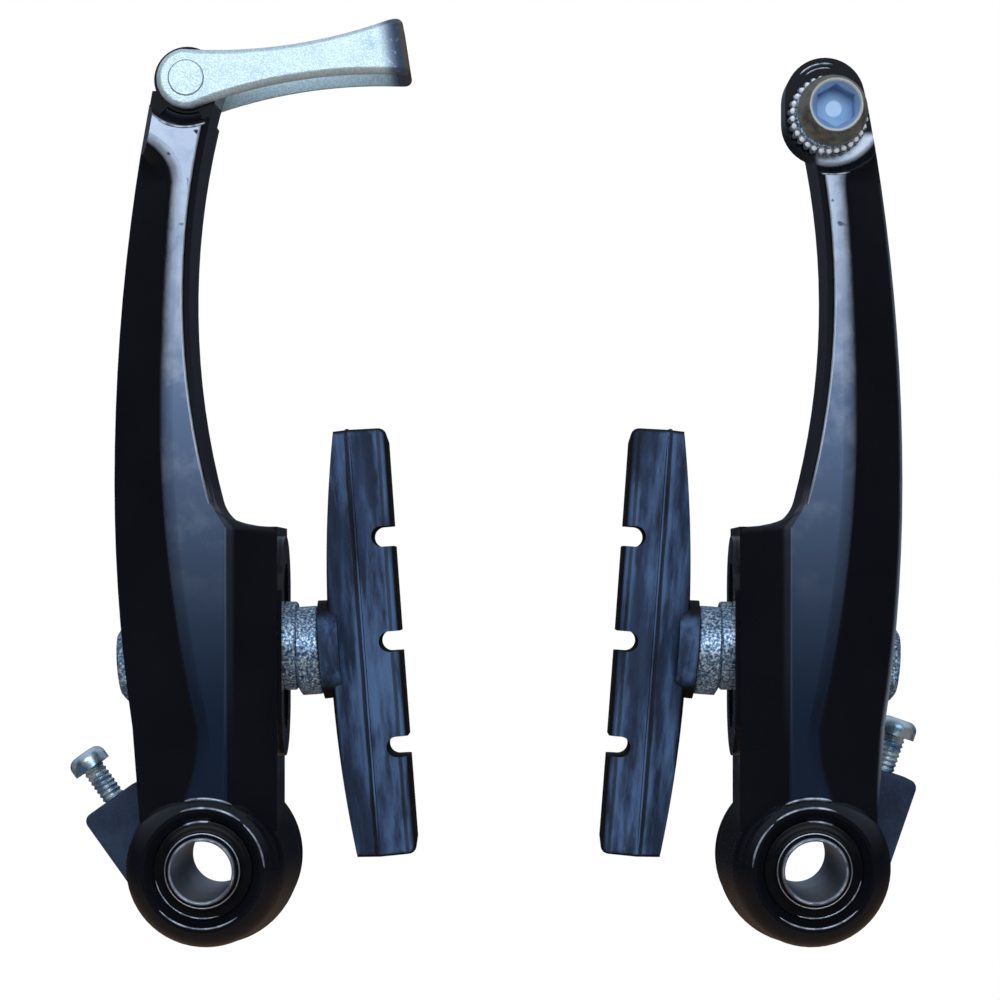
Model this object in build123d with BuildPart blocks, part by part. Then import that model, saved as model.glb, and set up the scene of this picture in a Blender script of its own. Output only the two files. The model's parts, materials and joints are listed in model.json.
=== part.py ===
import os
from math import cos, degrees, radians, sin, sqrt, tan

from build123d import *

os.makedirs("parts", exist_ok=True)

# A pair of linear-pull brake arms, seen from the front with the wheel out.
# X runs to the right, Z up, and the front of the brake faces -Y.
# Every part is drawn for the left arm: u inward from the pivot, z up, and
# depth forward from the mounting plane. The right arm is its mirror image.

# Clearances
running_gap = 0.05
press_gap = 0.02
pass_gap = 0.4

# Pivot
pivot_spacing = 82.0
sleeve_length = 25.5
sleeve_bore = 8.1
sleeve_diameter = 9.0
bush_diameter = 11.8
bush_flange_diameter = 13.2
bush_lip_diameter = 10.4
flange_depth = 22.0

# Return-spring housing: disc with a square corner that carries the screw
housing_back = 0.2
housing_front = 7.0
housing_radius = 11.6
housing_outer_side = 12.2
housing_top = 15.3
housing_inner_side = 3.0
housing_skin = 1.25
housing_lean = {"left": 35.5, "right": 19.0}

# Spring tension screw
screw_offset = 7.3
screw_depth = 3.6
screw_diameter = 3.3
screw_core_diameter = 2.7
screw_head_diameter = 5.5
screw_head_height = 2.4
screw_head_seat = 20.5
screw_head_round = 1.3
screw_cross_length = 2.6
screw_cross_width = 0.8
screw_cross_depth = 1.3

# Return spring
wire = 1.6
coil_radius = 7.0
coil_pitch = 1.66
leg_depth = 1.6
leg_top = 52.0
tail_length = 8.8

# Post behind the arm that the spring leg bears on
hook_z = 49.0
hook_radius = 1.5
hook_head_radius = 2.2
hook_back = 0.1

# Arm blade, as depths forward of the mounting plane
arm_back = 8.0
edge_depth = 20.5
facet_depth = 23.5
boss_back = housing_front + pass_gap
boss_front = 24.5
boss_radius = 11.8
boss_ring_radius = 8.3

# Arm outline: each bow is (nearest u, height of that point, radius)
foot_z = 5.0
foot_outer_u = -8.8
pad_boss_u = 9.7
pad_boss_z = 46.2
pad_boss_corner = 1.2
blade_corner = 5.0
inner_bow = (-2.2, 77.0, 105.0)
outer_upper_bow = (-12.3, 52.0, 282.0)
outer_lower_bow = (-12.3, 52.0, 225.0)

# Flat front ridge of the arm
ridge_u = 3.0
ridge_step_z = 46.5
ridge_blade_z = 49.0
ridge_inner_bow = (-2.6, 77.0, 105.0)
ridge_upper_bow = (-5.0, 62.0, 430.0)
ridge_lower_bow = (-5.0, 62.0, 184.0)
scoop_top_z = 96.3
scoop_low_z = 92.0
ridge_strip = 1.1
ridge_hook_z = 19.0
ridge_hook_mid = (-0.7, 12.6)
ridge_foot_u = -5.0
ridge_soft_radius = 5.0
ridge_crisp_radius = 0.5
bevel_radius = 1.5
back_edge_radius = 1.5

# Top of each arm
lug_u = -2.5
link_lug_z = 106.7
link_lug_radius = 4.5
link_lug_back = 12.0
link_lug_front = 20.0
link_recess_radius = 6.1
link_recess_bevel = 0.8
link_recess_step = 22.0
anchor_z = 102.0
anchor_lug_shift = (0.68, 2.25)
anchor_lug_radius = 5.4
anchor_lug_back = 14.5
anchor_seat = 20.3
anchor_seat_radius = 6.0
anchor_cove = 2.5

# Pad clamp
pad_tilt = 4.2
post_depth = 12.7
post_height = 29.0
post_diameter = 5.9
slot_face_u = 10.3
slot_back_u = 0.2
slot_low_z = 18.5
slot_high_z = 41.3
slot_width = 6.5
slot_wall_back = 4.2
pocket_low_z = 15.5
pocket_high_z = 45.0
pocket_depth = 19.0
washer_radius = 6.1
washer_sphere = 12.0
cup_hole_radius = 4.3
dome_hole_radius = 3.15
inner_cup_rim = 1.9
inner_dome_rim = 2.9
outer_cup_rim = 2.2
outer_dome_rim = 4.4
flat_washer_thickness = 1.0
nut_flats = 9.0
nut_height = 5.1

# Pad block
pad_length = 57.8
pad_rise = 0.5
pad_boss_start = 4.95
pad_back = 6.2
pad_seam = 11.0
pad_face = 16.1
pad_back_half = 4.3
pad_seam_half = 5.7
pad_face_half = 5.0
pad_boss_radius = 6.8
pad_boss_length = 2.65
pad_back_round = 1.5
pad_face_round = 1.3
pad_end_round = 1.1
pad_top_taper = 2.6
pad_low_taper = 1.7
rim_radius = 290.0
notch_pitch = 14.4
notch_depth = 3.0
notch_height = 2.8
post_head_radius = 4.5
post_head_thickness = 1.6

# Noodle link
link_angle = 8.8
link_length = 30.0
link_end_radius = 4.05
link_waist = 2.4
link_tip_half = 4.05
link_flare = 0.45
link_flare_length = 2.2
link_edge_round = 0.8
link_sheet = 1.6
link_side_gap = 0.15
rivet_diameter = 4.8
noodle_hole_radius = 2.6
noodle_slot_width = 2.4

# Cable anchor
anchor_thread = 5.9
clamp_washer_radius = 5.4
clamp_washer_thickness = 2.8
clamp_washer_bevel = 1.0
clamp_washer_play = 0.65
clamp_washer_shift = (0.38, -0.45)
clamp_lug_margin = 0.3
clamp_teeth = 30
clamp_tooth_cut = 0.6
cable_groove_radius = 0.8
bolt_head_base = 4.7
bolt_head_top = 3.6
bolt_head_height = 5.0
bolt_head_flange = 0.8
bolt_socket_flats = 5.0
bolt_socket_depth = 3.6
bolt_socket_lead = 0.9

pivot_x = -pivot_spacing / 2
pivot_axis = Axis((pivot_x, 0, 0), (0, -1, 0))
anchor_axis = Axis((pivot_x + lug_u, 0, anchor_z), (0, -1, 0))
tilt = radians(pad_tilt)

# Far face of the outer dome washer and of the flat washer, along the post
washer_dish = sqrt(washer_sphere**2 - washer_radius**2)
outer_centre_u = slot_back_u - outer_cup_rim - washer_dish
stack_end = (outer_centre_u - slot_face_u) / cos(tilt) + washer_dish - outer_dome_rim
nut_seat = stack_end - flat_washer_thickness


def facing(depth):
    # Front-facing sketch plane of the left arm at a depth
    return Plane(origin=(pivot_x, -depth, 0), x_dir=(1, 0, 0), z_dir=(0, -1, 0))


def turning(u, z):
    # Half-section plane about a fore-and-aft axis: x is radius, y is depth
    return Plane(origin=(pivot_x + u, 0, z), x_dir=(1, 0, 0), z_dir=(0, 0, -1))


def leaning(depth, lean):
    # Front-facing plane turned with the spring housing: y runs along the screw
    turn = radians(lean)
    return Plane(origin=(pivot_x, -depth, 0), x_dir=(cos(turn), 0, sin(turn)), z_dir=(0, -1, 0))


def post_point(u):
    # Point of the tilted post axis at a distance inward
    height = post_height + (u - slot_face_u) * tan(tilt)
    return Vector(pivot_x + u, -post_depth, height)


post_dir = Vector(cos(tilt), 0, sin(tilt))


def across_post(travel):
    # Plane square to the post, at a distance along it from the slot face
    start = post_point(slot_face_u) + post_dir * travel
    return Plane(origin=start, x_dir=(0, 1, 0), z_dir=post_dir)


def bow(height, nearest, peak, radius):
    return nearest + radius - sqrt(radius**2 - (height - peak) ** 2)


def bowed_edge(start, end, shape):
    heights = (start, (start + end) / 2, end)
    return ThreePointArc(*[(bow(h, *shape), h) for h in heights])


def corner(sketch, point):
    return sketch.vertices().sort_by_distance(point)[0]


def nearest_edge(builder, u, z, depth):
    return builder.edges().sort_by_distance((pivot_x + u, -depth, z))[0]


def on_side(part, side):
    if side == "left":
        return part
    with BuildPart() as flipped:
        mirror(part, about=Plane.YZ)
    return flipped.part


def save(part, name):
    part.label = name
    export_step(part, f"parts/{name}.step")


def rounded(corner_point, towards_start, towards_end):
    # Quarter-round between two square edges, given how far it reaches along each
    u, z = corner_point
    start = (u + towards_start[0], z + towards_start[1])
    end = (u + towards_end[0], z + towards_end[1])
    centre = (start[0] + towards_end[0], start[1] + towards_end[1])
    middle = tuple(c + (p - c) * sqrt(0.5) for c, p in zip(centre, corner_point))
    return ThreePointArc(start, middle, end)


def bow_fillet(level, shape, radius):
    # Round that runs from a level edge up into a bowed edge
    nearest, peak, big = shape
    rise = level + radius - peak
    centre_u = nearest + big - sqrt((big - radius) ** 2 - rise**2)
    lean = ((centre_u - nearest - big) / (big - radius), rise / (big - radius))
    half = sqrt(lean[0] ** 2 + (lean[1] - 1) ** 2)
    start = (centre_u, level)
    middle = (centre_u + radius * lean[0] / half, level + radius + radius * (lean[1] - 1) / half)
    end = (centre_u + radius * lean[0], level + radius + radius * lean[1])
    return start, middle, end


def arm_outline(depth, top):
    start, middle, end = bow_fillet(pad_boss_z, inner_bow, blade_corner)
    reach = pad_boss_corner
    with BuildLine(facing(depth)) as outline:
        Line((pad_boss_u, foot_z), (pad_boss_u, pad_boss_z - reach))
        rounded((pad_boss_u, pad_boss_z), (0, -reach), (-reach, 0))
        Line((pad_boss_u - reach, pad_boss_z), start)
        ThreePointArc(start, middle, end)
        bowed_edge(end[1], top, inner_bow)
        Line((bow(top, *inner_bow), top), (bow(top, *outer_upper_bow), top))
        Polyline(*[(bow(h, *outer_upper_bow), h) for h in (top, scoop_top_z, scoop_low_z)])
        bowed_edge(scoop_low_z, outer_upper_bow[1], outer_upper_bow)
        bowed_edge(outer_lower_bow[1], ridge_hook_z, outer_lower_bow)
        hook = (bow(ridge_hook_z, *outer_lower_bow), ridge_hook_z)
        Polyline(hook, (foot_outer_u, foot_z), (pad_boss_u, foot_z))
    return Face(outline.wire())


def arm_ridge(top):
    blade = (bow(ridge_blade_z, *ridge_inner_bow), ridge_blade_z)
    shoulder = [
        (ridge_u, ridge_step_z - 0.6),
        (ridge_u - 0.3, ridge_step_z),
        (blade[0] + 0.4, blade[1] - 0.7),
    ]
    hook = (bow(ridge_hook_z, *ridge_lower_bow), ridge_hook_z)
    scoop_low = (bow(scoop_low_z, *ridge_upper_bow), scoop_low_z)
    strip_top = (bow(top, *outer_upper_bow) + ridge_strip, top)
    scoop_top = (bow(scoop_top_z, *outer_upper_bow) + ridge_strip, scoop_top_z)
    scoop_mid = ((scoop_top[0] + 2 * scoop_low[0]) / 3, (2 * scoop_top_z + scoop_low_z) / 3 + 0.5)
    with BuildLine(facing(facet_depth)) as ridge:
        Polyline((ridge_u, foot_z), *shoulder, blade)
        bowed_edge(ridge_blade_z, top, ridge_inner_bow)
        Polyline((bow(top, *ridge_inner_bow), top), strip_top, scoop_top)
        ThreePointArc(scoop_top, scoop_mid, scoop_low)
        bowed_edge(scoop_low_z, ridge_upper_bow[1], ridge_upper_bow)
        bowed_edge(ridge_lower_bow[1], ridge_hook_z, ridge_lower_bow)
        ThreePointArc(hook, ridge_hook_mid, (ridge_foot_u, foot_z))
        Line((ridge_foot_u, foot_z), (ridge_u, foot_z))
    return Face(ridge.wire())


def build_arm(side):
    has_link = side == "left"
    top = link_lug_z - 1.5 if has_link else anchor_z
    hole_z = link_lug_z if has_link else anchor_z
    bush_hole = bush_diameter / 2 + press_gap
    flange_seat = bush_flange_diameter / 2 + 0.1
    with BuildPart() as arm:
        # Blade: a flat-backed bar crowned by a ruled transition to the ridge
        extrude(arm_outline(arm_back, top), amount=edge_depth - arm_back)
        loft([arm_outline(edge_depth, top), arm_ridge(top)], ruled=True)

        # Slotted wall that the pad clamps on, carried further back
        with BuildSketch(facing(slot_wall_back)):
            with BuildLine():
                Polyline(
                    (slot_back_u, pocket_low_z),
                    (pad_boss_u, pocket_low_z),
                    (pad_boss_u, pad_boss_z),
                    (slot_back_u, pad_boss_z),
                    close=True,
                )
            make_face()
        extrude(amount=edge_depth - slot_wall_back)
        wall_face = (pivot_x + pad_boss_u, -post_depth, 0)
        raised = Plane(origin=wall_face, x_dir=(0, 0, 1), z_dir=(1, 0, 0))
        slot_middle = (slot_low_z + slot_high_z) / 2
        with BuildSketch(raised):
            with Locations((slot_middle, 0)):
                SlotOverall(slot_high_z - slot_low_z + 7.5, slot_width + 8.5)
        extrude(amount=slot_face_u - pad_boss_u)

        # Pivot boss with its rounded shoulder
        with BuildSketch(turning(0, 0)):
            with BuildLine():
                Line((bush_hole, boss_back), (boss_radius, boss_back))
                Line((boss_radius, boss_back), (boss_radius, boss_back + 1.6))
                Line((boss_radius, boss_back + 1.6), (10.8, 18.6))
                ThreePointArc((10.8, 18.6), (10.1, 22.3), (boss_ring_radius, boss_front))
                Line((boss_ring_radius, boss_front), (bush_hole, boss_front))
                Line((bush_hole, boss_front), (bush_hole, boss_back))
            make_face()
        revolve(axis=pivot_axis)

        # Lug at the top
        lug_back = link_lug_back if has_link else anchor_lug_back
        lug_front = link_lug_front if has_link else anchor_seat
        with BuildSketch(facing(lug_back)):
            if has_link:
                with Locations((lug_u, link_lug_z)):
                    Circle(link_lug_radius)
            else:
                with Locations((lug_u + anchor_lug_shift[0], anchor_z + anchor_lug_shift[1])):
                    Circle(anchor_lug_radius)
                with Locations((lug_u + clamp_washer_shift[0], anchor_z + clamp_washer_shift[1])):
                    Circle(clamp_washer_radius + clamp_lug_margin)
                make_hull()
        extrude(amount=lug_front - lug_back)

        # Dished space for the link cheek, or for the anchor seat
        above = boss_front + 1
        with BuildSketch(turning(lug_u, hole_z)):
            with BuildLine():
                if has_link:
                    rim = link_recess_radius + link_recess_bevel
                    Line((0, lug_front), (link_recess_radius, lug_front))
                    Line((link_recess_radius, lug_front), (link_recess_radius, link_recess_step))
                    Line((link_recess_radius, link_recess_step), (rim, facet_depth))
                else:
                    rim = anchor_seat_radius + anchor_cove
                    centre = (anchor_seat_radius, lug_front + anchor_cove)
                    Line((0, lug_front), (anchor_seat_radius, lug_front))
                    CenterArc(centre, anchor_cove, -90, 90)
                    Line((rim, lug_front + anchor_cove), (rim, facet_depth))
                Polyline((rim, facet_depth), (rim + 0.4, above), (0, above), (0, lug_front))
            make_face()
        revolve(axis=Axis((pivot_x + lug_u, 0, hole_z), (0, -1, 0)), mode=Mode.SUBTRACT)
        if has_link:
            with BuildSketch(facing(0)):
                with Locations((lug_u, link_lug_z)):
                    Circle(link_recess_radius)
            extrude(amount=lug_back, mode=Mode.SUBTRACT)

        # Pocket behind the front web for the nut and the outer washers
        with BuildSketch(facing(0)) as pocket:
            with BuildLine():
                Polyline(
                    (slot_back_u, pocket_low_z),
                    (slot_back_u, pocket_high_z),
                    (-20, pocket_high_z),
                    (-20, pocket_low_z),
                    close=True,
                )
            make_face()
            fillet(corner(pocket, (slot_back_u, pocket_low_z)), 2.0)
            fillet(corner(pocket, (slot_back_u, pocket_high_z)), 2.0)
        extrude(amount=pocket_depth, mode=Mode.SUBTRACT)

        # Slot for the pad post
        with BuildSketch(raised.offset(2)):
            with Locations((slot_middle, 0)):
                SlotOverall(slot_high_z - slot_low_z, slot_width)
        extrude(amount=-14, mode=Mode.SUBTRACT)

        # Pivot bore, stepped and dished at the front for the bush
        with BuildSketch(turning(0, 0)):
            with BuildLine():
                Polyline(
                    (0, 0),
                    (bush_hole, 0),
                    (bush_hole, flange_depth),
                    (flange_seat, flange_depth),
                    (flange_seat, flange_depth + 1.2),
                    (boss_ring_radius - 0.5, boss_front),
                    (boss_ring_radius - 0.5, boss_front + 2),
                    (0, boss_front + 2),
                    close=True,
                )
            make_face()
        revolve(axis=pivot_axis, mode=Mode.SUBTRACT)

        # Soft outer side of the ridge, crisp inner side, eased back edges
        soft = [(bow(76, *ridge_upper_bow), 76), (bow(40, *ridge_lower_bow), 40)]
        fillet([nearest_edge(arm, u, z, facet_depth) for u, z in soft], ridge_soft_radius)
        fillet(nearest_edge(arm, bow(77, *ridge_inner_bow), 77, facet_depth), ridge_crisp_radius)
        fillet(nearest_edge(arm, ridge_u, 30, facet_depth), bevel_radius)
        fillet(nearest_edge(arm, bow(77, *inner_bow), 77, edge_depth), bevel_radius)
        backs = [(bow(77, *inner_bow), 77), (bow(72, *outer_upper_bow), 72)]
        fillet([nearest_edge(arm, u, z, arm_back) for u, z in backs], back_edge_radius)

        # Hole through the lug for the rivet or the bolt
        with BuildSketch(facing(0)):
            with Locations((lug_u, hole_z)):
                Circle((rivet_diameter if has_link else anchor_thread) / 2 + press_gap)
        extrude(amount=boss_front, mode=Mode.SUBTRACT)

        # Post behind the blade that the spring leg bears on
        hook_u = -coil_radius - wire / 2 - hook_radius - running_gap
        with BuildSketch(turning(hook_u, hook_z)):
            with BuildLine():
                Polyline(
                    (0, hook_back),
                    (hook_head_radius, hook_back),
                    (hook_head_radius, hook_back + 0.5),
                    (hook_radius, hook_back + 0.6),
                    (hook_radius, arm_back + 1),
                    (0, arm_back + 1),
                    close=True,
                )
            make_face()
        revolve(axis=Axis((pivot_x + hook_u, 0, hook_z), (0, -1, 0)))
    return arm.part


def build_sleeve():
    with BuildPart() as sleeve:
        with BuildSketch(facing(0)):
            Circle(sleeve_diameter / 2)
            Circle(sleeve_bore / 2, mode=Mode.SUBTRACT)
        extrude(amount=sleeve_length)
        chamfer(sleeve.edges().filter_by(GeomType.CIRCLE), 0.2)
    return sleeve.part


def build_bush():
    inner = sleeve_diameter / 2 + running_gap
    outer = bush_diameter / 2
    with BuildPart() as bush:
        with BuildSketch(turning(0, 0)):
            with BuildLine():
                Polyline(
                    (inner, boss_back + 0.1),
                    (outer, boss_back + 0.1),
                    (outer, flange_depth),
                    (bush_flange_diameter / 2, flange_depth),
                    (bush_flange_diameter / 2, flange_depth + 1.5),
                    (bush_lip_diameter / 2, flange_depth + 1.7),
                    (bush_lip_diameter / 2, boss_front),
                    (inner, boss_front),
                    close=True,
                )
            make_face()
        revolve(axis=pivot_axis)
    return bush.part


def build_housing(side):
    lean = housing_lean[side]
    width = housing_outer_side - housing_inner_side
    cavity = housing_front - housing_skin
    with BuildPart() as housing:
        with BuildSketch(leaning(housing_back, lean)) as shape:
            Circle(housing_radius)
            with Locations((-housing_inner_side - width / 2, housing_top / 2)):
                Rectangle(width, housing_top)
            fillet(corner(shape, (-housing_outer_side, housing_top)), 1.2)
            fillet(corner(shape, (-housing_inner_side, housing_top)), 0.8)
        extrude(amount=housing_front - housing_back)
        fillet(housing.faces().sort_by(Axis.Y)[0].outer_wire().edges(), 0.6)

        # Coil chamber and tail channel, open at the back
        with BuildSketch(leaning(0, lean)):
            Circle(coil_radius + wire / 2 + 0.6)
            with Locations((-tail_length / 2 - 0.6, coil_radius)):
                Rectangle(tail_length + 1.2, wire + 1.2)
            Circle(coil_radius - wire / 2 - 0.6, mode=Mode.SUBTRACT)
        extrude(amount=cavity, mode=Mode.SUBTRACT)

        # Fan-shaped exit that lets the leg swing with the arm
        with BuildSketch(facing(0)):
            with BuildLine():
                Polyline((-9.4, 0), (-5.4, 0), (-1.5, 22), (-14.5, 22), close=True)
            make_face()
        extrude(amount=leg_depth + wire / 2 + 0.3, mode=Mode.SUBTRACT)

        # Sleeve bore and screw hole
        with BuildSketch(facing(0)):
            Circle(sleeve_diameter / 2 + press_gap)
        extrude(amount=housing_front, mode=Mode.SUBTRACT)
        level = leaning(screw_depth, lean)
        hole_start = level.from_local_coords((-screw_offset, coil_radius, 0))
        with BuildSketch(Plane(origin=hole_start, z_dir=level.y_dir)):
            Circle(screw_diameter / 2 + press_gap)
        extrude(amount=housing_top, mode=Mode.SUBTRACT)
    return housing.part


def build_screw(side):
    level = leaning(screw_depth, housing_lean[side])
    tip = coil_radius + wire / 2 + 0.1
    top = screw_head_seat + screw_head_height
    length = Axis(level.origin, level.y_dir)

    def across(height):
        start = level.from_local_coords((-screw_offset, height, 0))
        return Plane(origin=start, x_dir=level.x_dir, z_dir=level.y_dir)

    with BuildPart() as screw:
        with BuildSketch(across(tip)):
            Circle(screw_diameter / 2)
        extrude(amount=housing_top - running_gap - tip)
        chamfer(screw.edges().filter_by(GeomType.CIRCLE).sort_by(length)[0], 0.4)
        with BuildSketch(across(tip + 1)):
            Circle(screw_core_diameter / 2)
        extrude(amount=screw_head_seat - tip - 1)
        with BuildSketch(across(screw_head_seat)):
            Circle(screw_head_diameter / 2)
        extrude(amount=screw_head_height)
        fillet(screw.edges().filter_by(GeomType.CIRCLE).sort_by(length)[-1], screw_head_round)

        # Cross recess
        with BuildSketch(across(top)):
            Rectangle(screw_cross_length, screw_cross_width)
            Rectangle(screw_cross_width, screw_cross_length)
        extrude(amount=-screw_cross_depth, mode=Mode.SUBTRACT)
    return screw.part


def build_spring(side):
    lean = housing_lean[side]
    turn = 720 - (90 - lean)
    height = coil_pitch * turn / 360
    tail_plane = leaning(leg_depth + height, lean)
    frame = Plane(origin=tail_plane.origin, x_dir=tail_plane.y_dir, z_dir=(0, 1, 0))
    finish = Vector(coil_radius * cos(radians(turn)), coil_radius * sin(radians(turn)), height)
    upward = Vector(-sin(radians(turn)), cos(radians(turn)), 0)
    with BuildPart() as spring:
        with BuildLine() as path:
            Line((coil_radius, -tail_length, 0), (coil_radius, 0, 0))
            Helix(coil_pitch, height, coil_radius)
            Line(finish, finish + upward * leg_top)
        with BuildSketch(Plane(origin=(coil_radius, -tail_length, 0), z_dir=(0, 1, 0))):
            Circle(wire / 2)
        sweep(path=path.wire())
    return frame.location * spring.part


def build_cup(face_u, rim, inward):
    # Dished washer lying flat on the slotted wall; inward is +1 or -1
    depth = washer_dish
    centre_u = face_u + inward * (rim + depth)
    section = Plane(origin=post_point(centre_u), x_dir=(inward, 0, 0), z_dir=(0, -inward, 0))
    hollow = (washer_radius + cup_hole_radius) / 2
    with BuildPart() as cup:
        with BuildSketch(section):
            with BuildLine():
                Polyline(
                    (-sqrt(washer_sphere**2 - cup_hole_radius**2), cup_hole_radius),
                    (-rim - depth, cup_hole_radius),
                    (-rim - depth, washer_radius),
                    (-depth, washer_radius),
                )
                ThreePointArc(
                    (-depth, washer_radius),
                    (-sqrt(washer_sphere**2 - hollow**2), hollow),
                    (-sqrt(washer_sphere**2 - cup_hole_radius**2), cup_hole_radius),
                )
            make_face()
        revolve(axis=Axis(section.origin, section.x_dir))
        outer_rim = cup.edges().filter_by(GeomType.CIRCLE).sort_by(SortBy.RADIUS)[-2:]
        fillet(outer_rim, 0.35)
    return cup.part


def build_dome(face_u, cup_rim, rim, inward):
    # Domed washer seated in the dish and square to the tilted post
    sphere = washer_sphere - press_gap
    depth = sqrt(sphere**2 - washer_radius**2)
    centre_u = face_u + inward * (cup_rim + washer_dish)
    section = Plane(origin=post_point(centre_u), x_dir=post_dir * inward, z_dir=(0, -inward, 0))
    middle = (washer_radius + dome_hole_radius) / 2
    crown = sqrt(sphere**2 - dome_hole_radius**2)
    with BuildPart() as dome:
        with BuildSketch(section):
            with BuildLine():
                Polyline(
                    (-depth, washer_radius),
                    (rim - washer_dish, washer_radius),
                    (rim - washer_dish, dome_hole_radius),
                    (-crown, dome_hole_radius),
                )
                ThreePointArc(
                    (-crown, dome_hole_radius),
                    (-sqrt(sphere**2 - middle**2), middle),
                    (-depth, washer_radius),
                )
            make_face()
        revolve(axis=Axis(section.origin, section.x_dir))
        outer_rim = dome.edges().filter_by(GeomType.CIRCLE).sort_by(SortBy.RADIUS)[-2:]
        fillet(outer_rim, 0.35)
    return dome.part


def build_flat_washer():
    with BuildPart() as washer:
        with BuildSketch(across_post(stack_end)):
            Circle(washer_radius)
            Circle(dome_hole_radius, mode=Mode.SUBTRACT)
        extrude(amount=-flat_washer_thickness)
        fillet(washer.edges().filter_by(GeomType.CIRCLE).sort_by(SortBy.RADIUS)[-2:], 0.2)
    return washer.part


def build_nut():
    corner_radius = nut_flats / sqrt(3)
    with BuildPart() as nut:
        with BuildSketch(across_post(nut_seat)):
            RegularPolygon(corner_radius, 6, rotation=90)
            Circle(post_diameter / 2 + press_gap, mode=Mode.SUBTRACT)
        extrude(amount=-nut_height)

        # Corners turned off at both ends
        section = Plane(origin=across_post(nut_seat).origin, x_dir=post_dir * -1, z_dir=(0, 1, 0))
        with BuildSketch(section):
            with BuildLine():
                Polyline(
                    (0, 0),
                    (0, nut_flats / 2),
                    (0.5, corner_radius + 0.1),
                    (nut_height - 0.8, corner_radius + 0.1),
                    (nut_height, nut_flats / 2 - 0.3),
                    (nut_height, 0),
                    close=True,
                )
            make_face()
        revolve(axis=Axis(section.origin, section.x_dir), mode=Mode.INTERSECT)
    return nut.part


def build_post():
    with BuildPart() as post:
        with BuildSketch(across_post(nut_seat - nut_height + 0.3)):
            Circle(post_diameter / 2)
        extrude(amount=pad_seam - nut_seat + nut_height - 0.3)
        with BuildSketch(across_post(pad_seam - post_head_thickness)):
            Circle(post_head_radius)
        extrude(amount=post_head_thickness)
    return post.part


def build_pad(post):
    upward = Vector(-sin(tilt), 0, cos(tilt))
    middle = post_point(slot_face_u) + upward * pad_rise
    section = Plane(origin=middle, x_dir=post_dir, z_dir=upward)
    profile = Plane(origin=middle, x_dir=post_dir, z_dir=(0, -1, 0))
    reach = pad_length / 2
    thin_top = pad_back + pad_top_taper
    thin_low = pad_back + pad_low_taper
    half_angle = degrees(reach / rim_radius)
    with BuildPart() as pad:
        # Half of the block swept round the rim, then mirrored about the post
        with BuildSketch(section) as block:
            with BuildLine():
                Polyline(
                    (pad_back, -pad_back_half),
                    (pad_seam, -pad_seam_half),
                    (pad_face, -pad_face_half),
                    (pad_face, pad_face_half),
                    (pad_seam, pad_seam_half),
                    (pad_back, pad_back_half),
                    close=True,
                )
            make_face()
            fillet([corner(block, (pad_back, s * pad_back_half)) for s in (-1, 1)], pad_back_round)
            fillet([corner(block, (pad_face, s * pad_face_half)) for s in (-1, 1)], pad_face_round)
        wheel_axis = Axis(section.origin + Vector(0, rim_radius, 0), post_dir)
        revolve(axis=wheel_axis, revolution_arc=half_angle)
        end_face = pad.faces().sort_by(Axis((0, 0, 0), upward))[0]
        fillet(end_face.edges(), pad_end_round)
        mirror(pad.part, about=section)

        # Back face bowed so that the ends are thinner
        with BuildSketch(profile):
            with BuildLine():
                ThreePointArc((thin_low, -reach), (pad_back, 0), (thin_top, reach))
                Polyline(
                    (thin_top, reach),
                    (thin_top, reach + 3),
                    (pad_back - 3, reach + 3),
                    (pad_back - 3, -reach - 3),
                    (thin_low, -reach - 3),
                    (thin_low, -reach),
                )
            make_face()
        extrude(amount=10, both=True, mode=Mode.SUBTRACT)

        # Round rubber boss about the post
        with BuildSketch(across_post(pad_boss_start)):
            Circle(pad_boss_radius)
        extrude(amount=pad_boss_length, taper=2)

        # Rounded notches across the friction face
        with BuildSketch(profile):
            with Locations(*[(pad_face, step * notch_pitch) for step in (-1, 0, 1)]):
                SlotOverall(2 * notch_depth, notch_height)
        extrude(amount=10, both=True, mode=Mode.SUBTRACT)
        add(post, mode=Mode.SUBTRACT)
    return pad.part


def link_plane(depth):
    turn = radians(link_angle)
    return Plane(
        origin=(pivot_x + lug_u, -depth, link_lug_z), x_dir=(cos(turn), 0, sin(turn)), z_dir=(0, -1, 0)
    )


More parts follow.
